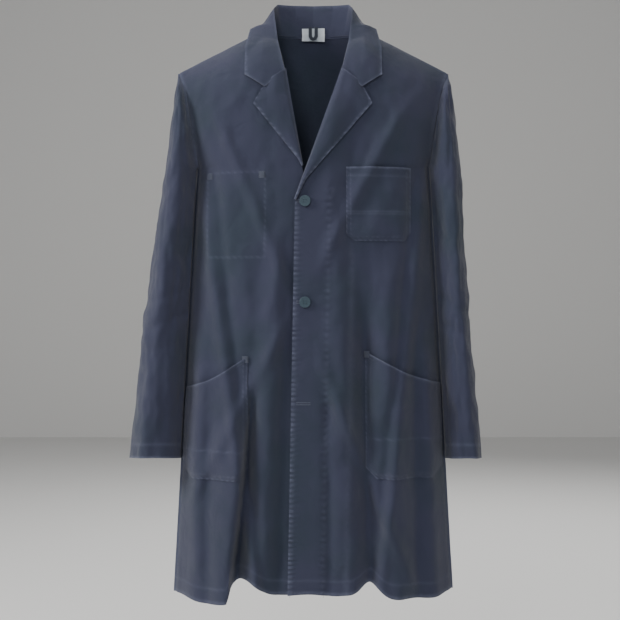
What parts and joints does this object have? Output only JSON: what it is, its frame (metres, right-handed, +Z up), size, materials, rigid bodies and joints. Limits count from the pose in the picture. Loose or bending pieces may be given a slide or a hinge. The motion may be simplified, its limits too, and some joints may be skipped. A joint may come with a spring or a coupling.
{
  "type": "work coat",
  "caption": "Knee-length lab coat in slate twill with notched lapels, long sleeves, patch pockets and a buttoned front, hung by its shoulders.",
  "frame": {"origin": "centre of the coat, level with the neck seam, where a hanger's neck comes through", "axes": "+Z up, the front faces -Y, the wearer's left is +X"},
  "size_m": [0.652, 0.157, 1.0861],
  "materials": {
    "twill": "matt cotton twill",
    "inner_cloth": "matt twill, inside face",
    "thread": "stitched thread",
    "tape": "woven tape",
    "label": "plain woven label",
    "button": "rimmed resin button"
  },
  "bodies": {
    "torso": {"back_collar": "twill", "back_hem": "inner_cloth", "back_panel": "twill", "back_under_collar": "inner_cloth", "button_threads": "thread", "buttonhole_1": "thread", "buttonhole_2": "thread", "chest_pocket": "twill", "chest_pocket_hem": "inner_cloth", "collar_stand": "inner_cloth", "inner_pocket": "inner_cloth", "left_facing": "inner_cloth", "left_front": "twill", "left_front_hem": "inner_cloth", "left_hip_pocket": "twill", "left_shoulder_seam": "twill", "left_side_seam": "twill", "left_sleeve_head": "twill", "left_sleeve_shoulder_bend": "twill", "neck_label": "label", "pocket_bartacks": "thread", "right_facing": "inner_cloth", "right_front": "twill", "right_front_hem": "inner_cloth", "right_hip_pocket": "twill", "right_shoulder_seam": "twill", "right_side_seam": "twill", "right_sleeve_head": "twill", "right_sleeve_shoulder_bend": "twill"},
    "left_skirt": {"left_skirt_corner": "twill", "left_skirt_facing": "inner_cloth", "buttonhole_3": "thread"},
    "right_skirt": {"right_skirt_corner": "twill", "right_skirt_facing": "inner_cloth"},
    "left_lapel_and_collar": {"left_lapel": "twill", "left_lapel_back": "inner_cloth", "left_collar": "twill", "left_under_collar": "inner_cloth"},
    "right_lapel_and_collar": {"right_lapel": "twill", "right_lapel_back": "inner_cloth", "right_collar": "twill", "right_under_collar": "inner_cloth"},
    "left_arm": {"left_upper_sleeve_outer": "twill", "left_upper_sleeve_under": "inner_cloth", "left_sleeve_elbow_bend": "twill"},
    "left_forearm": {"left_lower_sleeve_outer": "twill", "left_lower_sleeve_under": "inner_cloth", "left_cuff_hem": "inner_cloth"},
    "right_arm": {"right_upper_sleeve_outer": "twill", "right_upper_sleeve_under": "inner_cloth", "right_sleeve_elbow_bend": "twill"},
    "right_forearm": {"right_lower_sleeve_outer": "twill", "right_lower_sleeve_under": "inner_cloth", "right_cuff_hem": "inner_cloth"},
    "top_button": {"button_1": "button"},
    "second_button": {"button_2": "button"},
    "third_button": {"button_3": "button"},
    "loop": {"hang_loop": "tape"}
  },
  "joints": [
    {"name": "left_skirt_fold", "type": "hinge", "parent": "torso", "child": "left_skirt", "pos_m": [-0.0367, -0.08159, -0.53], "axis": [-0.3677, -0.0138, 0.9298], "range_deg": [0, 110]},
    {"name": "right_skirt_fold", "type": "hinge", "parent": "torso", "child": "right_skirt", "pos_m": [0.012, -0.07461, -0.7], "axis": [-0.4719, 0.0061, -0.8816], "range_deg": [0, 55]},
    {"name": "left_lapel_roll", "type": "hinge", "parent": "torso", "child": "left_lapel_and_collar", "pos_m": [0.07, -0.01, 0.038], "axis": [-0.2681, -0.1595, -0.9501], "range_deg": [0, 60]},
    {"name": "left_shoulder_lift", "type": "hinge", "parent": "torso", "child": "left_arm", "pos_m": [0.24959, 0.004, -0.3], "axis": [0, -1, 0], "range_deg": [0, 75], "deforming": ["left_sleeve_shoulder_bend"]},
    {"name": "left_elbow_bend", "type": "hinge", "parent": "left_arm", "child": "left_forearm", "pos_m": [0.26, 0.004, -0.535], "axis": [-1, 0, 0], "range_deg": [0, 75], "deforming": ["left_sleeve_elbow_bend"]},
    {"name": "right_lapel_roll", "type": "hinge", "parent": "torso", "child": "right_lapel_and_collar", "pos_m": [-0.07, -0.01, 0.038], "axis": [-0.1624, 0.1541, 0.9746], "range_deg": [0, 60]},
    {"name": "right_shoulder_lift", "type": "hinge", "parent": "torso", "child": "right_arm", "pos_m": [-0.25132, 0.004, -0.3], "axis": [0, 1, 0], "range_deg": [0, 75], "deforming": ["right_sleeve_shoulder_bend"]},
    {"name": "right_elbow_bend", "type": "hinge", "parent": "right_arm", "child": "right_forearm", "pos_m": [-0.273, 0.004, -0.535], "axis": [-1, 0, 0], "range_deg": [0, 75], "deforming": ["right_sleeve_elbow_bend"]},
    {"name": "top_button_turn", "type": "hinge", "parent": "torso", "child": "top_button", "pos_m": [-0.015, -0.07479, -0.327], "axis": [0, -1, 0], "range_deg": [-60, 60]},
    {"name": "second_button_turn", "type": "hinge", "parent": "torso", "child": "second_button", "pos_m": [-0.015, -0.07853, -0.508], "axis": [0, -1, 0], "range_deg": [-60, 60]},
    {"name": "third_button_turn", "type": "hinge", "parent": "torso", "child": "third_button", "pos_m": [-0.019, -0.07046, -0.689], "axis": [0, -1, 0], "range_deg": [-60, 60]},
    {"name": "hang_loop_flip", "type": "hinge", "parent": "torso", "child": "loop", "pos_m": [0, 0.0165, 0.004], "axis": [-1, 0, 0], "range_deg": [0, 100]}
  ],
  "couplings": [
    {"joint": "right_skirt_fold", "follows": "left_skirt_fold", "ratio": 0.5}
  ]
}
